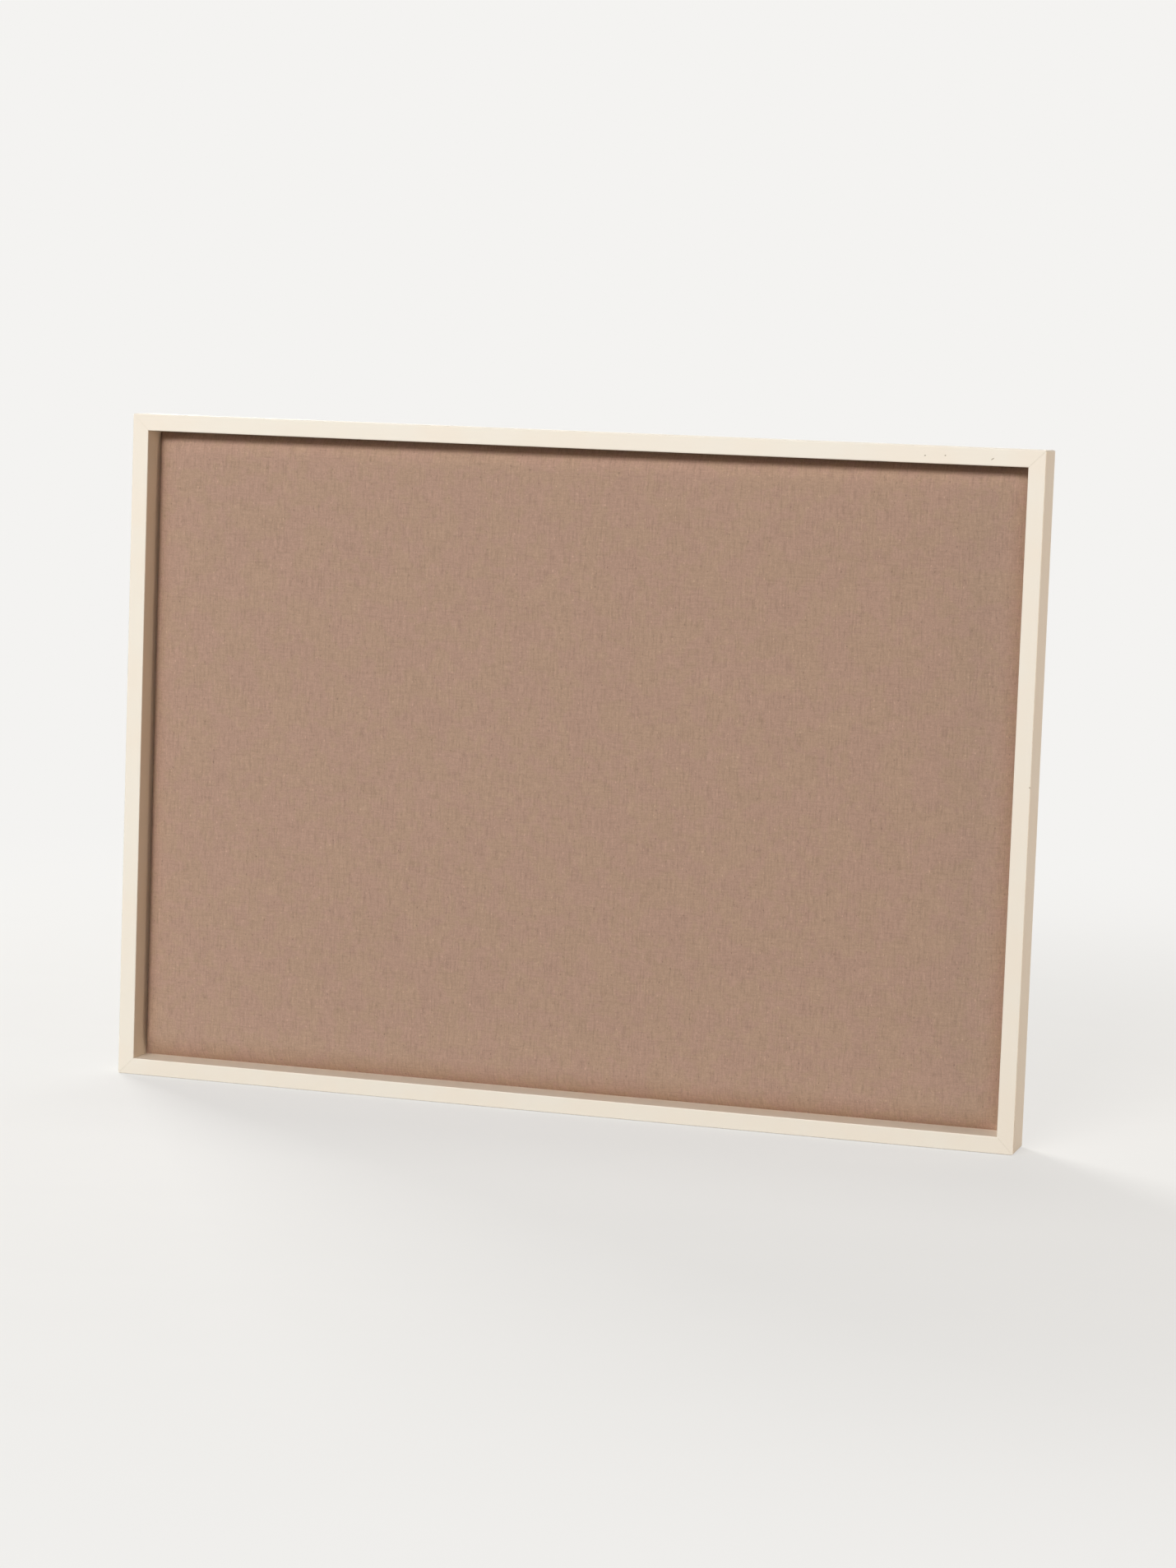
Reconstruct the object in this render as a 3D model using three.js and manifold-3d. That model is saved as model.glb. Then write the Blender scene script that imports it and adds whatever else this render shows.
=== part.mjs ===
// A pinboard: a padded, fabric-covered panel set deep in a mitred box frame that hangs on a wall.
// Millimetres. +X is to the viewer's right, +Y goes into the wall and +Z is up.
// Depths are measured from the frame's front face, and the finished group is then centred.

import * as THREE from 'three';
import { mergeVertices } from 'three/addons/utils/BufferGeometryUtils.js';
import Module from 'manifold-3d';

// Frame: four lacquered fibreboard rails
const boardWidth = 1000;
const boardHeight = 725;
const frameDepth = 50;
const railFaceWidth = 18;
const railEdgeRadius = 1;
const frameCornerRadius = 2.5;
const mitreGlueLine = 0.1;

// Rebate at the back of the sight edge, which the panel is laid into from behind
const rebateDepth = 14;
const rebateWidth = 5;

// Clearances between pieces
const seatGap = 0.2;
const slotClearance = 0.3;
const panelClearance = 0.5;
const cutOverrun = 1;

// Panel: fabric over padding over a pin core, closed by a back board
const fabricThickness = 0.8;
const padRise = 14;
const padRollWidth = 32;
const padRollPower = 3;
const padPressedThickness = 0.8;
const coreThickness = 6;
const hemWidth = 30;
const fieldCornerRadius = 12;
const creaseCornerRadius = 3;
const panelCornerRadius = 2;
const hemCornerRadius = 6;
const backBoardThickness = 2.5;
const rollSteps = 7;
const cornerSteps = 5;

// Corner nails: V-shaped strips pressed across each mitre
const cornerNailLeg = 3.6;
const cornerNailThickness = 0.5;
const cornerNailHeight = 10;
const cornerNailSink = 0.4;
const cornerNailShares = [0.26, 0.6];

// Flexible tabs that hold the back board
const tabWidth = 5.5;
const tabThickness = 0.4;
const tabGrip = 6;
const tabReach = 9.5;
const tabPoint = 2.5;
const tabTailRadius = 1.5;
const tabCornerDistance = 100;
const railTabCount = 4;
const stileTabCount = 3;

// Strap hangers with a swinging D-ring
const hangerDrop = 150;
const hangerInset = 7.5;
const strapWidth = 8;
const strapSheet = 0.8;
const strapLength = 36;
const strapEndRadius = 3;
const strapNeckRadius = 1;
const ringWire = 2;
const ringPlay = 0.3;
const ringSidePlay = 0.6;
const ringBend = 2;
const ringStraight = 2.4;
const ringRestTilt = 5;

// Screws of the hangers
const screwShank = 3;
const screwLength = 12;
const screwPoint = 3;
const screwHead = 6;
const screwHeadHeight = 2;
const screwHeadEdge = 0.8;
const screwRecess = 3.4;
const screwRecessSlot = 0.8;
const screwRecessDepth = 1.1;
const screwHoleClearance = 0.2;
const firstScrewDrop = 15.5;
const screwSpacing = 14.5;

// Wall bumpers
const bumperBase = 11;
const bumperTop = 9.6;
const bumperHeight = 5;
const bumperEdge = 1;
const bumperCornerDistance = 45;

// Smoothness of the round forms
const arcSteps = 3;
const holeSides = 16;
const latheSides = 28;
const ringSides = 10;
const ringSteps = 48;

// Sizes and depths that follow from those above
const quarterTurn = Math.PI / 2;
const halfTurn = Math.PI;
const fullTurn = Math.PI * 2;
const sightWidth = boardWidth - 2 * railFaceWidth;
const sightHeight = boardHeight - 2 * railFaceWidth;
const lipWidth = railFaceWidth - rebateWidth;
const stepDepth = frameDepth - rebateDepth;
const panelWidth = sightWidth + 2 * (rebateWidth - panelClearance);
const panelHeight = sightHeight + 2 * (rebateWidth - panelClearance);
const fieldFront = stepDepth - padRise;
const coverFlangeFront = stepDepth + seatGap;
const padFlangeFront = coverFlangeFront + fabricThickness + seatGap;
const padBack = padFlangeFront + padPressedThickness;
const coreFront = padBack + seatGap;
const coreBack = coreFront + coreThickness;
const coverBack = coreBack + seatGap + fabricThickness;
const backBoardFront = coverBack + seatGap;
const backBoardBack = backBoardFront + backBoardThickness;
const tabBack = backBoardBack + seatGap + tabThickness;
const loopHole = ringWire / 2 + ringPlay;
const loopRadius = loopHole + strapSheet;
const strapThickness = 2 * strapSheet;
const overallDepth = frameDepth + bumperHeight;

// Solids: joining and cutting
const solids = await Module();
solids.setup();

function toSolid(geometry) {
  const bare = geometry.clone();
  bare.deleteAttribute('normal');
  bare.deleteAttribute('uv');
  const merged = mergeVertices(bare);
  const mesh = new solids.Mesh({
    numProp: 3,
    vertProperties: new Float32Array(merged.attributes.position.array),
    triVerts: new Uint32Array(merged.index.array),
  });
  return new solids.Manifold(mesh);
}

function toGeometry(solid) {
  const mesh = solid.getMesh();
  const geometry = new THREE.BufferGeometry();
  geometry.setAttribute('position', new THREE.BufferAttribute(mesh.vertProperties, 3));
  geometry.setIndex(new THREE.BufferAttribute(mesh.triVerts, 1));
  geometry.computeVertexNormals();
  return geometry;
}

function cutAway(geometry, cutters) {
  let solid = toSolid(geometry);
  for (const cutter of cutters) {
    solid = solid.subtract(toSolid(cutter));
  }
  return toGeometry(solid);
}

// A flat piece in the plane of the board: its back at depth 0 and its thickness towards the front
function flatPiece(outline, thickness) {
  const geometry = new THREE.ExtrudeGeometry(outline, {
    depth: thickness,
    bevelEnabled: false,
    curveSegments: arcSteps,
  });
  return geometry.rotateX(quarterTurn);
}

function roundedRectangle(width, height, radius) {
  const x = width / 2 - radius;
  const y = height / 2 - radius;
  const outline = new THREE.Shape();
  outline.absarc(x, y, radius, 0, quarterTurn);
  outline.absarc(-x, y, radius, quarterTurn, halfTurn);
  outline.absarc(-x, -y, radius, halfTurn, halfTurn + quarterTurn);
  outline.absarc(x, -y, radius, halfTurn + quarterTurn, fullTurn);
  return outline;
}

// A closed body through a row of rounded rectangles, each at its own depth, capped at both ends
function loftRectangles(levels) {
  const positions = [];
  const indices = [];
  let count = 0;
  for (const level of levels) {
    const ring = roundedRectangle(level.width, level.height, level.radius).getPoints(cornerSteps);
    count = ring.length;
    for (const point of ring) {
      positions.push(point.x, level.depth, point.y);
    }
  }
  const last = (levels.length - 1) * count;
  for (let near = 0; near < last; near += count) {
    const far = near + count;
    for (let i = 0; i < count; i += 1) {
      const next = (i + 1) % count;
      indices.push(near + i, far + i, near + next);
      indices.push(near + next, far + i, far + next);
    }
  }
  for (let i = 1; i + 1 < count; i += 1) {
    indices.push(0, i, i + 1);
    indices.push(last, last + i + 1, last + i);
  }
  const geometry = new THREE.BufferGeometry();
  geometry.setAttribute('position', new THREE.Float32BufferAttribute(positions, 3));
  geometry.setIndex(indices);
  geometry.computeVertexNormals();
  return geometry;
}

// Frame rail. In its own axes x runs inwards from the outer face, y is depth and z runs along it.
function railSection() {
  const r = railEdgeRadius;
  const section = new THREE.Shape();
  section.absarc(r, r, r, halfTurn, halfTurn + quarterTurn);
  section.absarc(railFaceWidth - r, r, r, -quarterTurn, 0);
  section.lineTo(railFaceWidth, stepDepth);
  section.lineTo(lipWidth, stepDepth);
  section.lineTo(lipWidth, frameDepth);
  section.absarc(r, frameDepth - r, r, quarterTurn, halfTurn);
  section.closePath();
  return section;
}

function mitredBar(length) {
  const geometry = new THREE.ExtrudeGeometry(railSection(), {
    depth: length,
    bevelEnabled: false,
    curveSegments: arcSteps,
  });
  const glue = mitreGlueLine / 2 * Math.SQRT2;
  const position = geometry.attributes.position;
  for (let i = 0; i < position.count; i += 1) {
    const inwards = position.getX(i) + glue;
    const along = position.getZ(i) > length / 2 ? length - inwards : inwards;
    position.setZ(i, along);
  }
  return geometry;
}

// What is sanded off a rail's two outer corners, so that the frame's corners are round seen from the front
function cornerRoundings(length) {
  const r = frameCornerRadius;
  const outside = -cutOverrun;
  return [1, -1].map((way) => {
    const outline = new THREE.Shape();
    outline.moveTo(outside, outside * way);
    outline.lineTo(r, outside * way);
    outline.absarc(r, r * way, r, -quarterTurn * way, -halfTurn * way, way > 0);
    outline.lineTo(outside, r * way);
    outline.closePath();
    const waste = flatPiece(outline, frameDepth + 2 * cutOverrun);
    return waste.translate(0, frameDepth + cutOverrun, way > 0 ? 0 : length);
  });
}

// The V of a corner nail, open towards the middle of the board, its legs along both rails
function cornerNailOutline(clearance, way) {
  const half = cornerNailThickness / 2 + clearance;
  const end = cornerNailLeg + clearance;
  const outline = new THREE.Shape();
  outline.moveTo(-half, -half * way);
  outline.lineTo(end, -half * way);
  outline.lineTo(end, half * way);
  outline.lineTo(half, half * way);
  outline.lineTo(half, end * way);
  outline.lineTo(-half, end * way);
  outline.closePath();
  return outline;
}

function cornerNailPlaces() {
  return cornerNailShares.map((share) => lipWidth * share);
}

function cornerNailSlots(length) {
  const slots = [];
  const deep = cornerNailSink + cornerNailHeight + slotClearance + cutOverrun;
  for (const place of cornerNailPlaces()) {
    for (const way of [1, -1]) {
      const slot = flatPiece(cornerNailOutline(slotClearance, way), deep);
      const along = way > 0 ? place : length - place;
      slots.push(slot.translate(place, frameDepth + cutOverrun, along));
    }
  }
  return slots;
}

function tabPlaces(length, count) {
  const places = [];
  for (let i = 0; i < count; i += 1) {
    const share = i / (count - 1);
    places.push(tabCornerDistance + share * (length - 2 * tabCornerDistance));
  }
  return places;
}

function tabSlots(length, count) {
  const deep = tabGrip + slotClearance + cutOverrun;
  const thick = tabThickness + 2 * slotClearance;
  const wide = tabWidth + 2 * slotClearance;
  return tabPlaces(length, count).map((along) => {
    const slot = new THREE.BoxGeometry(deep, thick, wide);
    return slot.translate(lipWidth + cutOverrun - deep / 2, tabBack - tabThickness / 2, along);
  });
}

function screwDrops() {
  return [firstScrewDrop, firstScrewDrop + screwSpacing];
}

function screwPilots(places) {
  const radius = screwShank / 2 + slotClearance;
  const deep = screwLength - strapThickness + slotClearance + cutOverrun;
  return places.map((along) => {
    const pilot = new THREE.CylinderGeometry(radius, radius, deep, holeSides);
    return pilot.translate(hangerInset, frameDepth + cutOverrun - deep / 2, along);
  });
}

function frameRail(length, tabCount, pilotPlaces) {
  const cutters = [
    ...cornerRoundings(length),
    ...cornerNailSlots(length),
    ...tabSlots(length, tabCount),
    ...screwPilots(pilotPlaces),
  ];
  return cutAway(mitredBar(length), cutters);
}

// Padded panel: the skin of the cover, or of the padding under it, a given distance inside the cover.
// The cloth is pulled down at the frame, so it falls away gently from the field and steeply at the wall.
function panelSkin(inside, backDepth) {
  const rollAcross = padRollWidth - seatGap;
  const levels = [];
  for (let step = 0; step <= rollSteps; step += 1) {
    const share = step / rollSteps;
    const leanAcross = padRise * padRollPower * share ** (padRollPower - 1);
    const lean = Math.hypot(leanAcross, rollAcross);
    const fromWall = seatGap + rollAcross * (1 - share) + inside * leanAcross / lean;
    levels.push({
      width: sightWidth - 2 * fromWall,
      height: sightHeight - 2 * fromWall,
      radius: THREE.MathUtils.lerp(fieldCornerRadius, creaseCornerRadius, share),
      depth: fieldFront + padRise * share ** padRollPower + inside * rollAcross / lean,
    });
  }
  const edge = levels[levels.length - 1];
  levels.push({ ...edge, depth: coverFlangeFront + inside });
  const flange = {
    width: panelWidth - 2 * inside,
    height: panelHeight - 2 * inside,
    radius: panelCornerRadius,
  };
  levels.push({ ...flange, depth: coverFlangeFront + inside });
  levels.push({ ...flange, depth: backDepth });
  return loftRectangles(levels);
}

function fabricCover() {
  const hollow = panelSkin(fabricThickness, coverBack - fabricThickness);
  const window = roundedRectangle(panelWidth - 2 * hemWidth, panelHeight - 2 * hemWidth, hemCornerRadius);
  const opening = flatPiece(window, coverBack - coreFront);
  opening.translate(0, coverBack + cutOverrun, 0);
  return cutAway(panelSkin(0, coverBack), [hollow, opening]);
}

function padding() {
  return panelSkin(fabricThickness + seatGap, padBack);
}

function pinCore() {
  const width = panelWidth - 2 * (fabricThickness + seatGap);
  const height = panelHeight - 2 * (fabricThickness + seatGap);
  const geometry = flatPiece(roundedRectangle(width, height, panelCornerRadius), coreThickness);
  return geometry.translate(0, coreBack, 0);
}

function backBoard() {
  const geometry = new THREE.BoxGeometry(panelWidth, backBoardThickness, panelHeight);
  return geometry.translate(0, (backBoardFront + backBoardBack) / 2, 0);
}

// A flexible tab: its point in the rebate wall, its round-cornered tail over the back board
function retainerTab() {
  const half = tabWidth / 2;
  const r = tabTailRadius;
  const outline = new THREE.Shape();
  outline.moveTo(-tabGrip, 0);
  outline.lineTo(tabPoint - tabGrip, -half);
  outline.absarc(tabReach - r, r - half, r, -quarterTurn, 0);
  outline.absarc(tabReach - r, half - r, r, 0, quarterTurn);
  outline.lineTo(tabPoint - tabGrip, half);
  outline.closePath();
  return flatPiece(outline, tabThickness);
}

function cornerNail() {
  return flatPiece(cornerNailOutline(0, 1), cornerNailHeight);
}

// Strap hanger: one strip folded double, with the fold left open as a loop for the ring.
// In the outline x runs up the strap from the loop's axis and y stands off the frame's back.
function strapOutline() {
  const neckAcross = strapThickness + strapNeckRadius - loopRadius;
  const neckAlong = Math.sqrt((loopRadius + strapNeckRadius) ** 2 - neckAcross ** 2);
  const meet = Math.atan2(neckAcross, -neckAlong);
  const loopEnd = meet < 0 ? meet + fullTurn : meet;
  const neckStart = Math.atan2(-neckAcross, neckAlong);
  const outline = new THREE.Shape();
  outline.moveTo(-strapLength, 0);
  outline.absarc(0, loopRadius, loopRadius, -quarterTurn, loopEnd);
  outline.absarc(-neckAlong, strapThickness + strapNeckRadius, strapNeckRadius, neckStart, -quarterTurn, true);
  outline.lineTo(-strapLength, strapThickness);
  outline.closePath();
  const hole = new THREE.Path();
  hole.absarc(0, loopRadius, loopHole, 0, fullTurn);
  outline.holes.push(hole);
  return outline;
}

function strapFace() {
  const half = strapWidth / 2;
  const r = strapEndRadius;
  const top = loopRadius + cutOverrun;
  const outline = new THREE.Shape();
  outline.moveTo(top, -half);
  outline.lineTo(top, half);
  outline.absarc(r - strapLength, half - r, r, quarterTurn, halfTurn);
  outline.absarc(r - strapLength, r - half, r, halfTurn, halfTurn + quarterTurn);
  outline.closePath();
  const geometry = flatPiece(outline, 2 * loopRadius + 2 * cutOverrun);
  return geometry.translate(0, 2 * loopRadius + cutOverrun, 0);
}

function hangerStrap() {
  const folded = new THREE.ExtrudeGeometry(strapOutline(), {
    depth: strapWidth,
    bevelEnabled: false,
    curveSegments: 2 * arcSteps,
  });
  folded.translate(0, 0, -strapWidth / 2);
  let solid = toSolid(folded).intersect(toSolid(strapFace()));
  const radius = screwShank / 2 + screwHoleClearance;
  const deep = strapThickness + 2 * cutOverrun;
  for (const drop of screwDrops()) {
    const hole = new THREE.CylinderGeometry(radius, radius, deep, holeSides);
    hole.translate(-drop, strapThickness / 2, 0);
    solid = solid.subtract(toSolid(hole));
  }
  return toGeometry(solid);
}

// The D-ring's centre line, hanging from its straight bar, starting in the middle of the bar
class RingLine extends THREE.Curve {
  constructor() {
    super();
    const half = (strapWidth + ringWire) / 2 + ringSidePlay;
    const line = new THREE.Path();
    line.moveTo(0, 0);
    line.lineTo(half - ringBend, 0);
    line.absarc(half - ringBend, -ringBend, ringBend, quarterTurn, 0, true);
    line.absarc(0, -ringBend - ringStraight, half, 0, -halfTurn, true);
    line.absarc(ringBend - half, -ringBend, ringBend, halfTurn, quarterTurn, true);
    line.lineTo(0, 0);
    this.line = line;
  }

  getPoint(share) {
    const point = this.line.getPointAt(share);
    return new THREE.Vector3(point.x, 0, point.y);
  }
}

function hangerRing() {
  return new THREE.TubeGeometry(new RingLine(), ringSteps, ringWire / 2, ringSides, true);
}

// Pan-head screw, its head's underside at depth 0 and its point towards the front
function hangerScrew() {
  const shank = screwShank / 2;
  const head = screwHead / 2;
  const edge = screwHeadEdge;
  const profile = new THREE.Path();
  profile.moveTo(0, -screwLength);
  profile.lineTo(shank, screwPoint - screwLength);
  profile.lineTo(shank, 0);
  profile.lineTo(head, 0);
  profile.lineTo(head, screwHeadHeight - edge);
  profile.absarc(head - edge, screwHeadHeight - edge, edge, 0, quarterTurn);
  profile.lineTo(0, screwHeadHeight);
  const body = new THREE.LatheGeometry(profile.getPoints(arcSteps), latheSides);
  const deep = screwRecessDepth + cutOverrun;
  const depth = screwHeadHeight + cutOverrun - deep / 2;
  const slots = [0, quarterTurn].map((turn) => {
    const slot = new THREE.BoxGeometry(screwRecess, deep, screwRecessSlot);
    return slot.rotateY(turn).translate(0, depth, 0);
  });
  return cutAway(body, slots);
}

function wallBumper() {
  const top = bumperTop / 2;
  const profile = new THREE.Path();
  profile.moveTo(0, 0);
  profile.lineTo(bumperBase / 2, 0);
  profile.lineTo(top, bumperHeight - bumperEdge);
  profile.absarc(top - bumperEdge, bumperHeight - bumperEdge, bumperEdge, 0, quarterTurn);
  profile.lineTo(0, bumperHeight);
  return new THREE.LatheGeometry(profile.getPoints(arcSteps), latheSides);
}

// Finishes, one material to each piece
const finishes = {
  lacquer: { color: 0xece2d0, roughness: 0.45, metalness: 0 },
  fabric: { color: 0xaa8d79, roughness: 0.95, metalness: 0 },
  wadding: { color: 0xe9e6de, roughness: 0.95, metalness: 0 },
  softboard: { color: 0xa08664, roughness: 0.9, metalness: 0 },
  hardboard: { color: 0x7a5a3c, roughness: 0.7, metalness: 0 },
  zincedSteel: { color: 0xc4c6c8, roughness: 0.35, metalness: 1 },
  springSteel: { color: 0x8d8f92, roughness: 0.4, metalness: 1 },
  rubber: { color: 0x3a3836, roughness: 0.8, metalness: 0 },
};

function piece(name, geometry, finish) {
  const mesh = new THREE.Mesh(geometry, new THREE.MeshStandardMaterial(finishes[finish]));
  mesh.name = name;
  return mesh;
}

// One side of the frame with its tabs, and the two nails of the corner where it starts
function frameSide(side) {
  const group = new THREE.Group();
  group.add(piece(side.name, frameRail(side.length, side.tabs, side.pilots), 'lacquer'));
  tabPlaces(side.length, side.tabs).forEach((along, i) => {
    const tab = piece(`retainer_tab_${side.place}_${i + 1}`, retainerTab(), 'springSteel');
    tab.position.set(lipWidth, tabBack, along);
    group.add(tab);
  });
  cornerNailPlaces().forEach((place, i) => {
    const nail = piece(`corner_nail_${side.corner}_${i + 1}`, cornerNail(), 'springSteel');
    nail.position.set(place, frameDepth - cornerNailSink, place);
    group.add(nail);
  });
  group.rotation.y = side.turn;
  group.position.set(side.x, 0, side.z);
  return group;
}

function frame() {
  const x = boardWidth / 2;
  const z = boardHeight / 2;
  const drops = screwDrops().map((drop) => hangerDrop + drop);
  const leftStile = {
    name: 'frame_stile_left',
    place: 'left',
    corner: 'bottom_left',
    length: boardHeight,
    tabs: stileTabCount,
    pilots: drops.map((drop) => boardHeight - drop),
    turn: 0,
    x: -x,
    z: -z,
  };
  const rightStile = {
    name: 'frame_stile_right',
    place: 'right',
    corner: 'top_right',
    length: boardHeight,
    tabs: stileTabCount,
    pilots: drops,
    turn: halfTurn,
    x,
    z,
  };
  const topRail = {
    name: 'frame_rail_top',
    place: 'top',
    corner: 'top_left',
    length: boardWidth,
    tabs: railTabCount,
    pilots: [],
    turn: quarterTurn,
    x: -x,
    z,
  };
  const bottomRail = {
    name: 'frame_rail_bottom',
    place: 'bottom',
    corner: 'bottom_right',
    length: boardWidth,
    tabs: railTabCount,
    pilots: [],
    turn: -quarterTurn,
    x,
    z: -z,
  };
  const group = new THREE.Group();
  group.add(...[topRail, bottomRail, leftStile, rightStile].map(frameSide));
  return group;
}

function panel() {
  const group = new THREE.Group();
  group.add(piece('fabric_cover', fabricCover(), 'fabric'));
  group.add(piece('padding', padding(), 'wadding'));
  group.add(piece('pin_core', pinCore(), 'softboard'));
  group.add(piece('back_board', backBoard(), 'hardboard'));
  return group;
}

// A strap hanger with its ring at rest against the strap and its two screws
function hanger(place, x) {
  const group = new THREE.Group();
  const strap = piece(`hanger_strap_${place}`, hangerStrap(), 'zincedSteel');
  strap.rotation.y = -quarterTurn;
  group.add(strap);
  const ring = piece(`hanger_ring_${place}`, hangerRing(), 'zincedSteel');
  ring.position.y = loopRadius;
  ring.rotation.x = THREE.MathUtils.degToRad(ringRestTilt);
  group.add(ring);
  ['upper', 'lower'].forEach((height, i) => {
    const screw = piece(`hanger_screw_${place}_${height}`, hangerScrew(), 'zincedSteel');
    screw.position.set(0, strapThickness + seatGap, -screwDrops()[i]);
    group.add(screw);
  });
  group.position.set(x, frameDepth + seatGap, boardHeight / 2 - hangerDrop);
  return group;
}

function hangers() {
  const x = boardWidth / 2 - hangerInset;
  const group = new THREE.Group();
  group.add(hanger('left', -x), hanger('right', x));
  return group;
}

function bumpers() {
  const group = new THREE.Group();
  const x = boardWidth / 2 - bumperCornerDistance;
  const z = (boardHeight - lipWidth) / 2;
  const places = { top_left: [-x, z], top_right: [x, z], bottom_left: [-x, -z], bottom_right: [x, -z] };
  for (const [place, [across, up]] of Object.entries(places)) {
    const bumper = piece(`wall_bumper_${place}`, wallBumper(), 'rubber');
    bumper.position.set(across, frameDepth, up);
    group.add(bumper);
  }
  return group;
}

const pinboard = new THREE.Group();
pinboard.add(frame(), panel(), hangers(), bumpers());
pinboard.position.y = -overallDepth / 2;

export default pinboard;
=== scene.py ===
"""The looks of a fabric pinboard in a deep lacquered box frame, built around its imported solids.

Metres. +X is to the viewer's right, +Y goes into the wall and +Z is up. Depths are measured from
the frame's front face, which lies 27.5 mm in front of the origin.
"""

import logging
import math
from dataclasses import dataclass, replace
from enum import Enum
from typing import NamedTuple

import bpy
import numpy as np
from bpy.types import Material, Node, NodeSocket, NodeTree, Object
from mathutils import Matrix, Vector, noise


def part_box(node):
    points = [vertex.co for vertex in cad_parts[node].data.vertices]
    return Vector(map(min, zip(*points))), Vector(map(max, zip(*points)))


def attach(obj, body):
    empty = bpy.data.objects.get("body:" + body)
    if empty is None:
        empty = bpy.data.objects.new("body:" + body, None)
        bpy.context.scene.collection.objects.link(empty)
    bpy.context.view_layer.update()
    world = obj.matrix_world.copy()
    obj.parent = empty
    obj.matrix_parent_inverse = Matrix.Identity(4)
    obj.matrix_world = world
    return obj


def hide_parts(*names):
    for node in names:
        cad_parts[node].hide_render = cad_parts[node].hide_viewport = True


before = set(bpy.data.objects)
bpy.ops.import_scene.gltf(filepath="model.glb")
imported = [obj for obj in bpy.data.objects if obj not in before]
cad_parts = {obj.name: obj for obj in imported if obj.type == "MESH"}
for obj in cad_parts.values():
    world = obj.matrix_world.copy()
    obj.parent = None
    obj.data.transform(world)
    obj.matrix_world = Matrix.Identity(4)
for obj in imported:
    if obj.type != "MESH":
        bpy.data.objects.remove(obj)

LOG = logging.getLogger("pinboard")
MM = 0.001
FRONT_FACE = -27.5 * MM
BOARD = "board"
CLOTH_CUT = "ClothCut"
CORNERS = ("top_left", "top_right", "bottom_left", "bottom_right")
# Edges of a carried-over solid that are sharper than this stay crisp.
CREASE = math.radians(35)
WELD_GAP = 0.01 * MM
FLAT_FACE_WEIGHT = 80


class Side(Enum):
    """A side of the board, as the viewer in front of it sees it."""

    LEFT = "left"
    RIGHT = "right"
    TOP = "top"
    BOTTOM = "bottom"


class Zone(Enum):
    """A part of the cloth, from the middle of the board to its turned-over edge."""

    FIELD = 0
    ROLL = 1
    FLANGE = 2
    EDGE = 3
    HEM = 4


def linear(code: str) -> tuple[float, float, float, float]:
    """Turns an sRGB hex colour to a linear one.

    Args:
        code: Six hex digits, such as "aa8d79".

    Returns:
        Linear red, green, blue and an alpha of 1.
    """
    shares = [int(code[i:i + 2], 16) / 255 for i in (0, 2, 4)]
    red, green, blue = (s / 12.92 if s <= 0.04045 else ((s + 0.055) / 1.055) ** 2.4 for s in shares)
    return red, green, blue, 1.0


def add_node(tree: NodeTree, kind: str, inputs: dict | None = None, **settings) -> Node:
    """Adds a node to a tree, with its settings, values and links.

    Args:
        tree: The node tree.
        kind: The node's type name. ShaderNode in front of it is left out.
        inputs: Values, sockets or nodes for the inputs, by name or number. A node gives the first
            of its outputs that is in use.
        settings: Properties of the node itself.

    Returns:
        The new node.
    """
    node = tree.nodes.new(kind if "Node" in kind else "ShaderNode" + kind)
    for name, value in settings.items():
        setattr(node, name, value)
    for name, value in (inputs or {}).items():
        if isinstance(value, Node):
            value = next(output for output in value.outputs if output.enabled)
        if isinstance(value, NodeSocket):
            tree.links.new(value, node.inputs[name])
        else:
            node.inputs[name].default_value = value
    return node


def two_tone(tree: NodeTree, pattern: Node, tones: tuple[str, str], low: float = 0.0,
             high: float = 1.0) -> Node:
    """Adds a colour that goes from the first tone to the second as a pattern rises from low to high."""
    # Here and below, inputs 6 and 7 of a Mix node are its two colours.
    share = add_node(tree, "MapRange", {"Value": pattern, "From Min": low, "From Max": high})
    return add_node(tree, "Mix", {0: share, 6: linear(tones[0]), 7: linear(tones[1])}, data_type="RGBA")


def seen_rays(tree: NodeTree) -> Node:
    """Adds a mask of the rays that end in the picture, straight or by a gloss or through glass.

    Args:
        tree: The node tree.

    Returns:
        The node whose value is 1 for those rays and 0 for the ones that only carry light.
    """
    path = add_node(tree, "LightPath")
    seen = path.outputs["Is Camera Ray"]
    for kind in ("Is Glossy Ray", "Is Transmission Ray"):
        seen = add_node(tree, "Math", {0: seen, 1: path.outputs[kind]}, operation="MAXIMUM")
    return seen


def direction(azimuth: float, elevation: float) -> Vector:
    """The way out from the board, in degrees to the viewer's right of straight in front, and up."""
    turn, tilt = math.radians(azimuth), math.radians(elevation)
    return Vector((math.sin(turn) * math.cos(tilt), -math.cos(turn) * math.cos(tilt), math.sin(tilt)))


@dataclass(frozen=True)
class Finish:
    """A surface as the maker left it. Each kind fills in its own nodes."""

    name: str

    def material(self) -> Material:
        """Makes the Blender material on its first use.

        Returns:
            The material.
        """
        found = bpy.data.materials.get(self.name)
        if found is not None:
            return found
        made = bpy.data.materials.new(self.name)
        made.use_nodes = True
        tree = made.node_tree
        tree.nodes.clear()
        shader = add_node(tree, "BsdfPrincipled", self.dress(tree))
        add_node(tree, "OutputMaterial", {"Surface": shader})
        return made

    def dress(self, tree: NodeTree) -> dict:
        """Fills in the nodes in front of the shader.

        Args:
            tree: The material's node tree.

        Returns:
            Values, sockets or nodes for the shader's inputs.
        """
        raise NotImplementedError

    def apply(self, piece: Object) -> None:
        """Puts the finish on every material slot of a piece.

        Args:
            piece: The piece.
        """
        if not piece.material_slots:
            piece.data.materials.append(None)
        for place in piece.material_slots:
            place.material = self.material()


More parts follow.
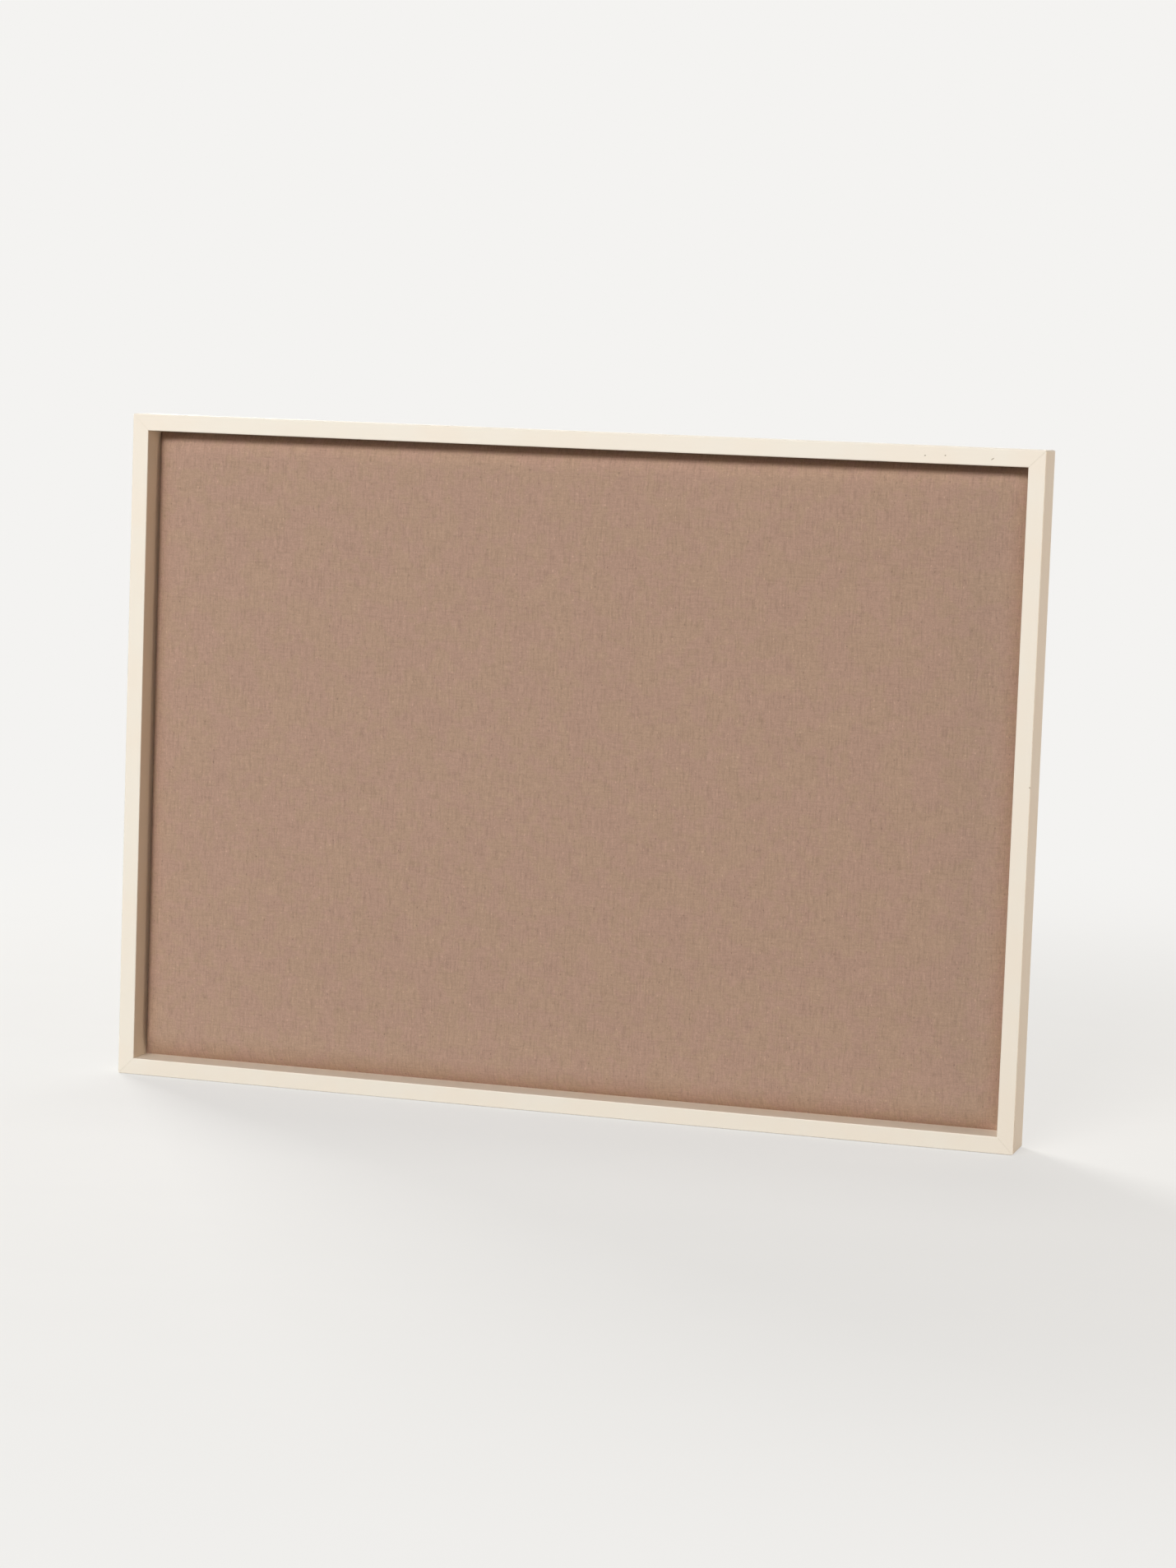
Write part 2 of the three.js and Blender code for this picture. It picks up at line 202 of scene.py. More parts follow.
@dataclass(frozen=True)
class Mark:
    """A dent or speck in the lacquer of the front face: its place, size and slant."""

    x: float
    z: float
    length: float
    width: float
    slant: float = 0.0


@dataclass(frozen=True)
class SprayedLacquer(Finish):
    """Cream satin lacquer, sprayed on medium-density fibreboard and rubbed down.

    The spray leaves a fine orange peel, which breaks up the soft reflections a little. The face is
    almost even in tone. The back gets one thin coat, so that the brown board shows through it.
    """

    face: tuple[str, str] = ("f2eadb", "f3e8d7")
    thin_coat: str = "cdbb9c"
    mark_tone: str = "a3937c"
    roughness: float = 0.42
    thin_coat_roughness: float = 0.82
    mottle_size: float = 71.43 * MM
    mottle_range: tuple[float, float] = (0.35, 0.65)
    fibre_size: float = 1.5 * MM
    wave_size: float = 90 * MM
    wave_depth: float = 0.03 * MM
    peel_size: float = 2.2 * MM
    peel_depth: float = 0.008 * MM
    # How squarely a surface has to face the wall for the thin coat to start, and to be all of it.
    thin_coat_range: tuple[float, float] = (0.3, 0.9)
    marks: tuple[Mark, ...] = (
        Mark(375 * MM, 352.4 * MM, 2.3 * MM, 1.7 * MM, math.radians(-20)),
        Mark(396 * MM, 353.2 * MM, 2.0 * MM, 1.9 * MM),
        Mark(445 * MM, 351.6 * MM, 4.6 * MM, 1.4 * MM, math.radians(-32)),
        Mark(499 * MM, 19.0 * MM, 2.4 * MM, 1.5 * MM, math.radians(80)),
    )
    mark_depth: float = 0.3 * MM
    mark_strength: float = 0.8
    # A mark fades out from this share of its size, and this far in front of the face and behind it.
    mark_core_share: float = 0.5
    mark_reach: float = 2 * MM

    def dress(self, tree: NodeTree) -> dict:
        """Fills in the lacquer's tone, peel, marks and thin back coat.

        Args:
            tree: The material's node tree.

        Returns:
            Nodes for the shader's inputs.
        """
        place = add_node(tree, "TexCoord")
        point = place.outputs["Object"]
        mottle, fibre, wave, peel = (
            add_node(tree, "TexNoise", {"Vector": point, "Scale": 1 / size, "Detail": detail})
            for size, detail in ((self.mottle_size, 3.0), (self.fibre_size, 4.0), (self.wave_size, 1.0),
                                 (self.peel_size, 1.0))
        )
        tone = two_tone(tree, mottle, self.face, *self.mottle_range)
        inward = add_node(tree, "SeparateXYZ", {0: place.outputs["Normal"]}).outputs["Y"]
        start, full = self.thin_coat_range
        facing_wall = add_node(tree, "MapRange", {"Value": inward, "From Min": start, "From Max": full})
        thin = add_node(tree, "Math", {0: facing_wall, 1: fibre}, operation="MULTIPLY")
        coated = add_node(tree, "Mix", {0: thin, 6: tone, 7: linear(self.thin_coat)}, data_type="RGBA")
        spot = self._marks(tree, point)
        marked = add_node(tree, "Mix", {0: spot, 6: coated, 7: linear(self.mark_tone)}, data_type="RGBA")
        rough = add_node(tree, "MapRange",
                         {"Value": thin, "To Min": self.roughness, "To Max": self.thin_coat_roughness})
        waved = add_node(tree, "Bump", {"Height": wave, "Distance": self.wave_depth})
        peeled = add_node(tree, "Bump", {"Height": peel, "Distance": self.peel_depth, "Normal": waved})
        dented = add_node(tree, "Bump",
                          {"Height": spot, "Distance": self.mark_depth, "Normal": peeled}, invert=True)
        return {"Base Color": marked, "Roughness": rough, "Normal": dented}

    def _marks(self, tree: NodeTree, point: NodeSocket) -> Node:
        """Adds a mask of the dents in the front face.

        Args:
            tree: The material's node tree.
            point: The point on the surface.

        Returns:
            The node whose value is 0 on plain lacquer.
        """
        mask = add_node(tree, "Value")
        for mark in self.marks:
            near = add_node(tree, "Mapping",
                            {"Vector": point, "Location": (mark.x, FRONT_FACE, mark.z),
                             "Rotation": (0.0, mark.slant, 0.0),
                             "Scale": (mark.length / 2, self.mark_reach, mark.width / 2)},
                            vector_type="TEXTURE")
            far = add_node(tree, "VectorMath", {0: near}, operation="LENGTH")
            spot = add_node(tree, "MapRange",
                            {"Value": far, "From Min": self.mark_core_share, "From Max": 1.0,
                             "To Min": self.mark_strength, "To Max": 0.0}, interpolation_type="SMOOTHSTEP")
            mask = add_node(tree, "Math", {0: mask, 1: spot}, operation="MAXIMUM")
        return mask


@dataclass(frozen=True)
class SlubLinen(Finish):
    """Taupe plain-woven linen look cloth with thick and thin yarns, dyed in the yarn.

    Plain weave of uneven yarns gives the eye a fine, restless grain of short upright and lying
    dashes. Slubs, where a yarn thickens for a few centimetres, show as longer streaks. Neps and
    bits of husk are small light and dark flecks. The dye took unevenly, so the hue drifts between
    a pinkish and a sandy taupe in soft patches.
    """

    dyes: tuple[str, str] = ("b29381", "b1947f")
    roughness: float = 0.95
    # Real linen of this kind has about 0.9 mm between its yarns. That is too fine for the render,
    # where a pixel is 0.9 to 1.6 mm, so the yarns are drawn 1.3 mm apart.
    yarn_spacing: float = 1.3 * MM
    yarn_depth: float = 0.08 * MM
    yarn_contrast: float = 0.35
    # How much higher a yarn is drawn where it lies on top, and lower where it lies beneath.
    yarn_lift: float = 0.4
    relief_strength: float = 0.5
    # The yarns wander by about this much, over this far, so that the weave isn't a ruled grid.
    wander: float = 2.4 * MM
    wander_size: float = 14 * MM
    dash_length: float = 3.6 * MM
    # Keeps the tone of each yarn apart from that of the next.
    dash_spread: float = 7.31
    slub_width: float = 1.7 * MM
    slub_length: float = 20 * MM
    slub_contrast: float = 0.075
    lying_slub_contrast: float = 0.045
    # Keeps the lying slubs apart from the upright ones.
    lying_slub_offset: float = 7.0
    slub_relief: float = 0.7
    thick_yarn_range: tuple[float, float] = (0.57, 0.75)
    thin_yarn_range: tuple[float, float] = (0.42, 0.25)
    thin_yarn_weight: float = 1.5
    fleck_spacing: float = 11 * MM
    fleck_stretch: float = 0.6
    fleck_size: float = 1.3 * MM
    # A fleck fades out between these shares of its radius.
    fleck_rim_shares: tuple[float, float] = (0.4, 1.3)
    fleck_contrast: float = 0.26
    # Each fleck draws a number from 0 to 1. A high one makes it a nep, and a low one a husk.
    nep_above: float = 0.78
    husk_below: float = 0.28
    patch_size: float = 34 * MM
    patch_range: tuple[float, float] = (0.44, 0.56)
    cloud_size: float = 70 * MM
    cloud_contrast: float = 0.05

    def dress(self, tree: NodeTree) -> dict:
        """Fills in the weave, its slubs, flecks and patches.

        Args:
            tree: The material's node tree.

        Returns:
            Values and nodes for the shader's inputs.
        """
        cut = add_node(tree, "UVMap", uv_map=CLOTH_CUT)
        pull = add_node(tree, "TexNoise", {"Vector": cut, "Scale": 1 / self.wander_size, "Detail": 1.0},
                        noise_dimensions="2D")
        cut = add_node(tree, "VectorMath",
                       {0: pull.outputs["Color"], 1: (self.wander, self.wander, 0.0), 2: cut},
                       operation="MULTIPLY_ADD")
        spacing = (self.yarn_spacing, self.yarn_spacing, 1.0)
        cell = add_node(tree, "VectorMath", {0: cut, 1: spacing}, operation="DIVIDE")
        yarn = add_node(tree, "VectorMath", {0: cell}, operation="FLOOR")
        inside = add_node(tree, "VectorMath", {0: cell}, operation="FRACTION")
        turned = add_node(tree, "VectorMath", {0: inside, 1: (math.pi, math.pi, 0.0)}, operation="MULTIPLY")
        arched = add_node(tree, "VectorMath", {0: turned}, operation="SINE")
        number, arch, along = (add_node(tree, "SeparateXYZ", {0: part}).outputs
                               for part in (yarn, arched, cut))

        # Warp lies over weft in every other crossing, as squares on a chessboard
        both = add_node(tree, "Math", {0: number[0], 1: number[1]})
        odd = add_node(tree, "Math", {0: both, 1: 2.0}, operation="FLOORED_MODULO")
        over = add_node(tree, "Math", {0: odd, 1: 2 * self.yarn_lift, 2: -self.yarn_lift},
                        operation="MULTIPLY_ADD")
        under = add_node(tree, "Math", {0: over, 1: -1.0}, operation="MULTIPLY")
        warp = add_node(tree, "Math", {0: arch[1], 1: over, 2: arch[0]}, operation="MULTIPLY_ADD")
        weft = add_node(tree, "Math", {0: arch[0], 1: under, 2: arch[1]}, operation="MULTIPLY_ADD")
        height = add_node(tree, "Math", {0: warp, 1: weft}, operation="MAXIMUM")
        warp_shows = add_node(tree, "Math", {0: warp, 1: weft}, operation="GREATER_THAN")

        warp_tone = self._yarn_tone(tree, number[0], along[1])
        weft_tone = self._yarn_tone(tree, number[1], along[0])
        yarn_tone = add_node(tree, "Mix", {0: warp_shows, 2: weft_tone, 3: warp_tone})
        upright = self._slubs(tree, cut, self.slub_width, self.slub_length, 0.0)
        lying = self._slubs(tree, cut, self.slub_length, self.slub_width, self.lying_slub_offset)
        cloud, patch = (
            add_node(tree, "TexNoise",
                     {"Vector": cut, "Scale": 1 / size, "Detail": detail, "Roughness": rough},
                     noise_dimensions="2D")
            for size, detail, rough in ((self.cloud_size, 5.0, 0.6), (self.patch_size, 3.0, 0.7))
        )
        shade = self._flecks(tree, cut)
        parts = ((yarn_tone, 0.5, self.yarn_contrast), (cloud, 0.5, self.cloud_contrast),
                 (upright, 0.0, self.slub_contrast), (lying, 0.0, self.lying_slub_contrast))
        for part, middle, contrast in parts:
            apart = add_node(tree, "Math", {0: part, 1: middle}, operation="SUBTRACT")
            shade = add_node(tree, "Math", {0: apart, 1: contrast, 2: shade}, operation="MULTIPLY_ADD")
        dyed = two_tone(tree, patch, self.dyes, *self.patch_range)
        cloth = add_node(tree, "VectorMath", {0: dyed, "Scale": shade}, operation="SCALE")
        relief = add_node(tree, "Math", {0: upright, 1: self.slub_relief, 2: height},
                          operation="MULTIPLY_ADD")
        bump = add_node(tree, "Bump",
                        {"Height": relief, "Distance": self.yarn_depth, "Strength": self.relief_strength})
        return {"Base Color": cloth, "Normal": bump, "Roughness": self.roughness, "Specular IOR Level": 0.0}

    def _yarn_tone(self, tree: NodeTree, number: NodeSocket, along: NodeSocket) -> Node:
        """Adds the tone of each yarn, which changes along its length.

        Args:
            tree: The material's node tree.
            number: The yarn's number, counted across the cloth.
            along: The distance along the yarn.

        Returns:
            The noise node that gives the tone.
        """
        apart = add_node(tree, "Math", {0: number, 1: self.dash_spread}, operation="MULTIPLY")
        drift = add_node(tree, "Math", {0: along, 1: self.dash_length}, operation="DIVIDE")
        where = add_node(tree, "CombineXYZ", {0: apart, 1: drift})
        return add_node(tree, "TexNoise", {"Vector": where, "Scale": 1.0, "Detail": 1.0},
                        noise_dimensions="2D")

    def _slubs(self, tree: NodeTree, cut: Node, across: float, up: float, offset: float) -> Node:
        """Adds the streaks of the thick yarns, light, and of the thin ones, dark.

        Args:
            tree: The material's node tree.
            cut: The place on the flat cloth.
            across: A streak's size across the board.
            up: A streak's size up the board.
            offset: Keeps one set of streaks apart from another.

        Returns:
            The node whose value is above 0 on the thick yarns and below 0 on the thin ones.
        """
        where = add_node(tree, "Mapping",
                         {"Vector": cut, "Location": (offset, offset, 0.0),
                          "Scale": (1 / across, 1 / up, 1.0)})
        streak = add_node(tree, "TexNoise", {"Vector": where, "Scale": 1.0, "Detail": 1.0},
                          noise_dimensions="2D")
        thick, thin = (
            add_node(tree, "MapRange",
                     {"Value": streak, "From Min": start, "From Max": full, "To Max": weight})
            for (start, full), weight in ((self.thick_yarn_range, 1.0),
                                          (self.thin_yarn_range, self.thin_yarn_weight))
        )
        return add_node(tree, "Math", {0: thick, 1: thin}, operation="SUBTRACT")

    def _flecks(self, tree: NodeTree, cut: Node) -> Node:
        """Adds the small light neps and dark bits of husk, scattered at random.

        Args:
            tree: The material's node tree.
            cut: The place on the flat cloth.

        Returns:
            The node whose value is 1 on plain cloth, more on a nep and less on a husk.
        """
        where = add_node(tree, "Mapping",
                         {"Vector": cut, "Scale": (1 / self.fleck_spacing,
                                                   self.fleck_stretch / self.fleck_spacing, 1.0)})
        spot = add_node(tree, "TexVoronoi", {"Vector": where, "Scale": 1.0}, voronoi_dimensions="2D")
        radius = self.fleck_size / self.fleck_spacing / 2
        full, gone = (radius * share for share in self.fleck_rim_shares)
        inside = add_node(tree, "MapRange", {"Value": spot, "From Min": gone, "From Max": full})
        lot = add_node(tree, "SeparateXYZ", {0: spot.outputs["Color"]})
        nep = add_node(tree, "Math", {0: lot, 1: self.nep_above}, operation="GREATER_THAN")
        husk = add_node(tree, "Math", {0: lot, 1: self.husk_below}, operation="LESS_THAN")
        kind = add_node(tree, "Math", {0: nep, 1: husk}, operation="SUBTRACT")
        fleck = add_node(tree, "Math", {0: inside, 1: kind}, operation="MULTIPLY")
        return add_node(tree, "Math", {0: fleck, 1: self.fleck_contrast, 2: 1.0},
                        operation="MULTIPLY_ADD")


@dataclass(frozen=True)
class PressedBoard(Finish):
    """Wood fibres pressed to a board: hardboard, or the soft core that holds the pins.

    The fibres lie at random and differ in tone, which gives a short, flecked mottle. Hardboard has
    the imprint of the wire screen that it was pressed on.
    """

    tones: tuple[str, str] = ("6b4d33", "86653f")
    tone_range: tuple[float, float] = (0.7, 1.3)
    fleck_size: float = 2.2 * MM
    fleck_relief: float = 0.5
    # A patch of tone is this many flecks wide.
    flecks_per_patch: float = 40.0
    # The screen of the press has about 1.4 mm between its wires, drawn 2 mm apart to show.
    screen_spacing: float = 2.0 * MM
    screen_depth: float = 0.1 * MM
    roughness: float = 0.75

    def dress(self, tree: NodeTree) -> dict:
        """Fills in the flecks and the screen's imprint.

        Args:
            tree: The material's node tree.

        Returns:
            Values and nodes for the shader's inputs.
        """
        point = add_node(tree, "TexCoord").outputs["Object"]
        patch_size = self.flecks_per_patch * self.fleck_size
        patch = add_node(tree, "TexNoise", {"Vector": point, "Scale": 1 / patch_size, "Detail": 3.0})
        fleck = add_node(tree, "TexNoise",
                         {"Vector": point, "Scale": 1 / self.fleck_size, "Detail": 4.0,
                          "Roughness": 0.7, "Distortion": 0.8})
        mixed = add_node(tree, "Math", {0: patch, 1: fleck}, operation="ADD")
        tone = two_tone(tree, mixed, self.tones, *self.tone_range)
        grid = add_node(tree, "VectorMath", {0: point, 1: (math.tau / self.screen_spacing,) * 3},
                        operation="MULTIPLY")
        wires = add_node(tree, "VectorMath", {0: grid}, operation="SINE")
        wire = add_node(tree, "SeparateXYZ", {0: wires}).outputs
        screen = add_node(tree, "Math", {0: wire["X"], 1: wire["Z"]}, operation="MAXIMUM")
        relief = add_node(tree, "Math", {0: fleck, 1: self.fleck_relief, 2: screen},
                          operation="MULTIPLY_ADD")
        bump = add_node(tree, "Bump", {"Height": relief, "Distance": self.screen_depth})
        return {"Base Color": tone, "Normal": bump, "Roughness": self.roughness}


@dataclass(frozen=True)
class BondedWadding(Finish):
    """White polyester wadding, its fibres bonded to a springy sheet.

    Curled fibres catch the light at random, so the sheet looks soft, white and uneven.
    """

    tones: tuple[str, str] = ("d9d6cd", "f0eee8")
    curl_size: float = 7.2 * MM
    curl_depth: float = 0.6 * MM
    sheen: float = 0.3

    def dress(self, tree: NodeTree) -> dict:
        """Fills in the curled fibres.

        Args:
            tree: The material's node tree.

        Returns:
            Values and nodes for the shader's inputs.
        """
        point = add_node(tree, "TexCoord").outputs["Object"]
        curls = add_node(tree, "TexNoise",
                         {"Vector": point, "Scale": 1 / self.curl_size, "Detail": 8.0,
                          "Roughness": 0.7, "Distortion": 3.0})
        tone = two_tone(tree, curls, self.tones)
        bump = add_node(tree, "Bump", {"Height": curls, "Distance": self.curl_depth})
        return {"Base Color": tone, "Normal": bump, "Roughness": 1.0, "Sheen Weight": self.sheen}


@dataclass(frozen=True)
class PlatedSteel(Finish):
    """Sheet or wire steel as it comes from its bath or furnace, such as bright zinc or blued.

    Zinc plating is pale with a faint blue and dull patches; blued spring steel is darker. Both have
    fine drawing lines and small scratches that stretch the reflections.
    """

    tones: tuple[str, str] = ("c9cbcd", "aeb1b4")
    roughness: float = 0.3
    # How much smoother the bright patches are, and how much rougher the dull ones.
    smoother: float = 0.07
    rougher: float = 0.12
    patch_size: float = 3 * MM
    patch_range: tuple[float, float] = (0.3, 0.7)
    line_size: float = 0.25 * MM
    line_depth: float = 0.01 * MM
    # The drawing lines run up and down: their pattern is stretched that way.
    line_stretch: float = 0.06

    def dress(self, tree: NodeTree) -> dict:
        """Fills in the dull patches and the drawing lines.

        Args:
            tree: The material's node tree.

        Returns:
            Values and nodes for the shader's inputs.
        """
        point = add_node(tree, "TexCoord").outputs["Object"]
        patch = add_node(tree, "TexNoise", {"Vector": point, "Scale": 1 / self.patch_size, "Detail": 5.0})
        tone = two_tone(tree, patch, self.tones)
        start, full = self.patch_range
        rough = add_node(tree, "MapRange",
                         {"Value": patch, "From Min": start, "From Max": full,
                          "To Min": self.roughness - self.smoother, "To Max": self.roughness + self.rougher})
        drawn = add_node(tree, "Mapping", {"Vector": point, "Scale": (1.0, 1.0, self.line_stretch)})
        lines = add_node(tree, "TexNoise", {"Vector": drawn, "Scale": 1 / self.line_size, "Detail": 2.0})
        bump = add_node(tree, "Bump", {"Height": lines, "Distance": self.line_depth})
        return {"Base Color": tone, "Roughness": rough, "Normal": bump, "Metallic": 1.0}


@dataclass(frozen=True)
class MouldedRubber(Finish):
    """Dark grey rubber from a spark-eroded mould.

    The mould leaves a fine matt grain, and handling leaves paler dust in it.
    """

    tones: tuple[str, str] = ("3a3836", "55514c")
    roughness: float = 0.7
    dust_size: float = 4 * MM
    dust_range: tuple[float, float] = (0.4, 0.8)
    grain_size: float = 0.5 * MM
    grain_depth: float = 0.03 * MM

    def dress(self, tree: NodeTree) -> dict:
        """Fills in the grain and the dust.

        Args:
            tree: The material's node tree.

        Returns:
            Values and nodes for the shader's inputs.
        """
        point = add_node(tree, "TexCoord").outputs["Object"]
        grain, dust = (
            add_node(tree, "TexNoise", {"Vector": point, "Scale": 1 / size, "Detail": 3.0})
            for size in (self.grain_size, self.dust_size)
        )
        tone = two_tone(tree, dust, self.tones, *self.dust_range)
        bump = add_node(tree, "Bump", {"Height": grain, "Distance": self.grain_depth})
        return {"Base Color": tone, "Normal": bump, "Roughness": self.roughness}


@dataclass(frozen=True)
class PaintedFloor(Finish):
    """Plain pale studio floor, painted matt.

    It has only a faint grain, so that it takes the board's shadow and shows nothing else. Away from
    the board it turns evenly into the pale surround, as a studio's curved backdrop does.
    """

    pale: str = "f4f3f1"
    lit: str = "8a8986"
    bounce: str = "7c7b79"
    roughness: float = 0.95
    grain_size: float = 111.11 * MM
    grain_contrast: float = 0.03
    # The floor's glow in the picture near the board. Far off it is 1, as the surround's is.
    glow_near: float = 0.66
    # How far from the board's middle the floor starts to turn plain, and where it is all plain.
    shadow_reach: float = 0.8
    plain_reach: float = 2.6

    def dress(self, tree: NodeTree) -> dict:
        """Fills in the faint grain and the paleness that the camera and the reflections see.

        Args:
            tree: The material's node tree.

        Returns:
            Values and nodes for the shader's inputs.
        """
        point = add_node(tree, "TexCoord").outputs["Object"]
        seen = seen_rays(tree)
        away = add_node(tree, "VectorMath", {0: point}, operation="LENGTH")
        plain = add_node(tree, "MapRange",
                         {"Value": away, "From Min": self.shadow_reach, "From Max": self.plain_reach},
                         interpolation_type="SMOOTHSTEP")
        grain = add_node(tree, "TexNoise", {"Vector": point, "Scale": 1 / self.grain_size, "Detail": 5.0})
        swing = self.grain_contrast
        worn = add_node(tree, "MapRange", {"Value": grain, "To Min": 1 - swing, "To Max": 1 + swing})
        lit = add_node(tree, "VectorMath", {0: linear(self.lit)[:3], "Scale": worn}, operation="SCALE")
        near = add_node(tree, "Mix", {0: seen, 6: linear(self.bounce), 7: lit}, data_type="RGBA")
        shown = add_node(tree, "Mix", {0: plain, 6: near, 7: linear("000000")}, data_type="RGBA")
        strength = add_node(tree, "MapRange", {"Value": plain, "To Min": self.glow_near})
        glow = add_node(tree, "Math", {0: seen, 1: strength}, operation="MULTIPLY")
        return {"Base Color": shown, "Emission Color": linear(self.pale), "Emission Strength": glow,
                "Roughness": self.roughness, "Specular IOR Level": 0.0}


LACQUER = SprayedLacquer("sprayed_satin_lacquer_on_fibreboard")
LINEN = SlubLinen("woven_slub_linen_cloth")
WADDING = BondedWadding("bonded_polyester_wadding")
HARDBOARD = PressedBoard("pressed_hardboard_screen_side")
SOFTBOARD = PressedBoard("pressed_softboard", tones=("8f7552", "b79c76"), fleck_size=6 * MM,
                         screen_spacing=3 * MM, screen_depth=0.15 * MM, roughness=0.95)
ZINC = PlatedSteel("zinc_plated_sheet_steel")
SPRING = PlatedSteel("blued_spring_steel", tones=("96989b", "74777b"), roughness=0.36)
RUBBER = MouldedRubber("moulded_rubber")
FLOOR = PaintedFloor("matt_painted_floor")


def soften(piece: Object) -> None:
    """Shades the round edges of a carried-over solid smoothly, and keeps its flats flat.

    Args:
        piece: The CAD node's object. Its mesh stays as it is.
    """
    name = "round_edges"
    tree = bpy.data.node_groups.get(name)
    if tree is None:
        tree = bpy.data.node_groups.new(name, "GeometryNodeTree")
        for way in ("INPUT", "OUTPUT"):
            tree.interface.new_socket("Geometry", in_out=way, socket_type="NodeSocketGeometry")
        solid = add_node(tree, "NodeGroupInput")
        bare = add_node(tree, "GeometryNodeRemoveAttribute", {"Geometry": solid, "Name": "custom_normal"})
        joined = add_node(tree, "GeometryNodeMergeByDistance", {"Geometry": bare, "Distance": WELD_GAP})
        smooth = add_node(tree, "GeometryNodeSetShadeSmooth", {"Geometry": joined, "Shade Smooth": True})
        angle = add_node(tree, "GeometryNodeInputMeshEdgeAngle")
        sharp = add_node(tree, "FunctionNodeCompare", {0: angle, 1: CREASE}, operation="GREATER_THAN")
        crisp = add_node(tree, "GeometryNodeSetShadeSmooth",
                         {"Geometry": smooth, "Selection": sharp, "Shade Smooth": False}, domain="EDGE")
        add_node(tree, "NodeGroupOutput", {0: crisp})
    piece.modifiers.new(name, "NODES").node_group = tree
    weighted = piece.modifiers.new("flat_faces", "WEIGHTED_NORMAL")
    weighted.keep_sharp = True
    weighted.weight = FLAT_FACE_WEIGHT


def dress_solid(name: str, finish: Finish) -> None:
    """Softens the edges of a carried-over solid and puts its finish on it.

    Args:
        name: The CAD node's name.
        finish: The finish.
    """
    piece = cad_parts[name]
    soften(piece)
    finish.apply(piece)
    LOG.info("%s: %s", name, finish.name)


def new_piece(name: str, points: np.ndarray, faces: list[tuple[int, ...]]) -> Object:
    """Makes a mesh object and links it to the scene.

    Args:
        name: The piece's name.
        points: Its vertices, one row each.
        faces: Its faces, as numbers of vertices.

    Returns:
        The new object.
    """
    mesh = bpy.data.meshes.new(name)
    mesh.from_pydata(points.tolist(), [], faces)
    mesh.validate()
    piece = bpy.data.objects.new(name, mesh)
    bpy.context.scene.collection.objects.link(piece)
    return piece


@dataclass
class BoxFrame:
    """The four mitred rails of lacquered fibreboard, with the nails in their back corners."""

    rails: tuple[str, ...] = ("frame_rail_top", "frame_rail_bottom",
                              "frame_stile_left", "frame_stile_right")
    nails_per_corner: int = 2
    face_width: float = 18 * MM
    # The glue line is 0.1 mm wide. The filler all but fills it, so that no seam shows.
    filler_width: float = 0.0996 * MM
    filler_depth: float = 3 * MM
    # How far the filler sinks below the face, and how much that varies along the mitre.
    filler_sink: float = 0.0024 * MM
    filler_wave: float = 0.0032 * MM
    filler_waves: float = 6.0
    filler_steps: int = 24
    inner_inset: float = 1.0 * MM
    outer_inset: float = 2.2 * MM

    def build(self) -> None:
        """Dresses the rails and the corner nails, and fills the mitres."""
        for name in self.rails:
            dress_solid(name, LACQUER)
        for corner in CORNERS:
            for i in range(self.nails_per_corner):
                dress_solid(f"corner_nail_{corner}_{i + 1}", SPRING)
            self.fill_mitre(corner)

    def fill_mitre(self, corner: str) -> None:
        """Fills the hairline of one mitre flush with the front, as a painter does.

        Args:
            corner: The corner's name, such as "top_left".
        """
        outer = Vector(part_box("frame_rail_top")[1])
        sign_x = -1.0 if corner.endswith("left") else 1.0
        sign_z = -1.0 if corner.startswith("bottom") else 1.0
        count = self.filler_steps + 1
        points = []
        for i in range(count):
            share = i / self.filler_steps
            inset = self.outer_inset + (self.face_width - self.inner_inset - self.outer_inset) * share
            wave = noise.noise(Vector((share * self.filler_waves, sign_x, sign_z)))
            sunk = self.filler_sink + self.filler_wave * wave
            for across in (-0.5, 0.5):
                shift = across * self.filler_width / math.sqrt(2)
                x, z = outer.x - inset + shift, outer.z - inset - shift
                for depth in (max(sunk, 0.0), self.filler_depth):
                    points.append((sign_x * x, FRONT_FACE + depth, sign_z * z))
        faces = [(0, 1, 3, 2), (4 * count - 4, 4 * count - 2, 4 * count - 1, 4 * count - 3)]
        for i in range(self.filler_steps):
            a, b = 4 * i, 4 * i + 4
            faces += [(a, a + 2, b + 2, b), (a + 1, b + 1, b + 3, a + 3),
                      (a, b, b + 1, a + 1), (a + 2, a + 3, b + 3, b + 2)]
        if sign_x * sign_z < 0:
            faces = [tuple(reversed(face)) for face in faces]
        filler = new_piece(f"mitre_filler_{corner}", np.array(points), faces)
        LACQUER.apply(filler)
        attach(filler, BOARD)
        LOG.info("mitre_filler_%s: %.0f mm across the face", corner, self.face_width / MM)


class GridLine(NamedTuple):
    """One line of the cloth's grid.

    It lies arc along the flat cloth and reach along the board from the middle, lean of its way over
    the roll, back behind it, in a zone, and turned over the panel's back edge by that much.
    """

    arc: float
    reach: float
    lean: float = 0.0
    back: float = 0.0
    zone: int = Zone.FIELD.value
    turned: float = 0.0


@dataclass
class CutLines:
    """The grid lines along one way of the board, from edge to edge: an array for each number."""

    arc: np.ndarray
    reach: np.ndarray
    lean: np.ndarray
    back: np.ndarray
    zone: np.ndarray
    turned: np.ndarray


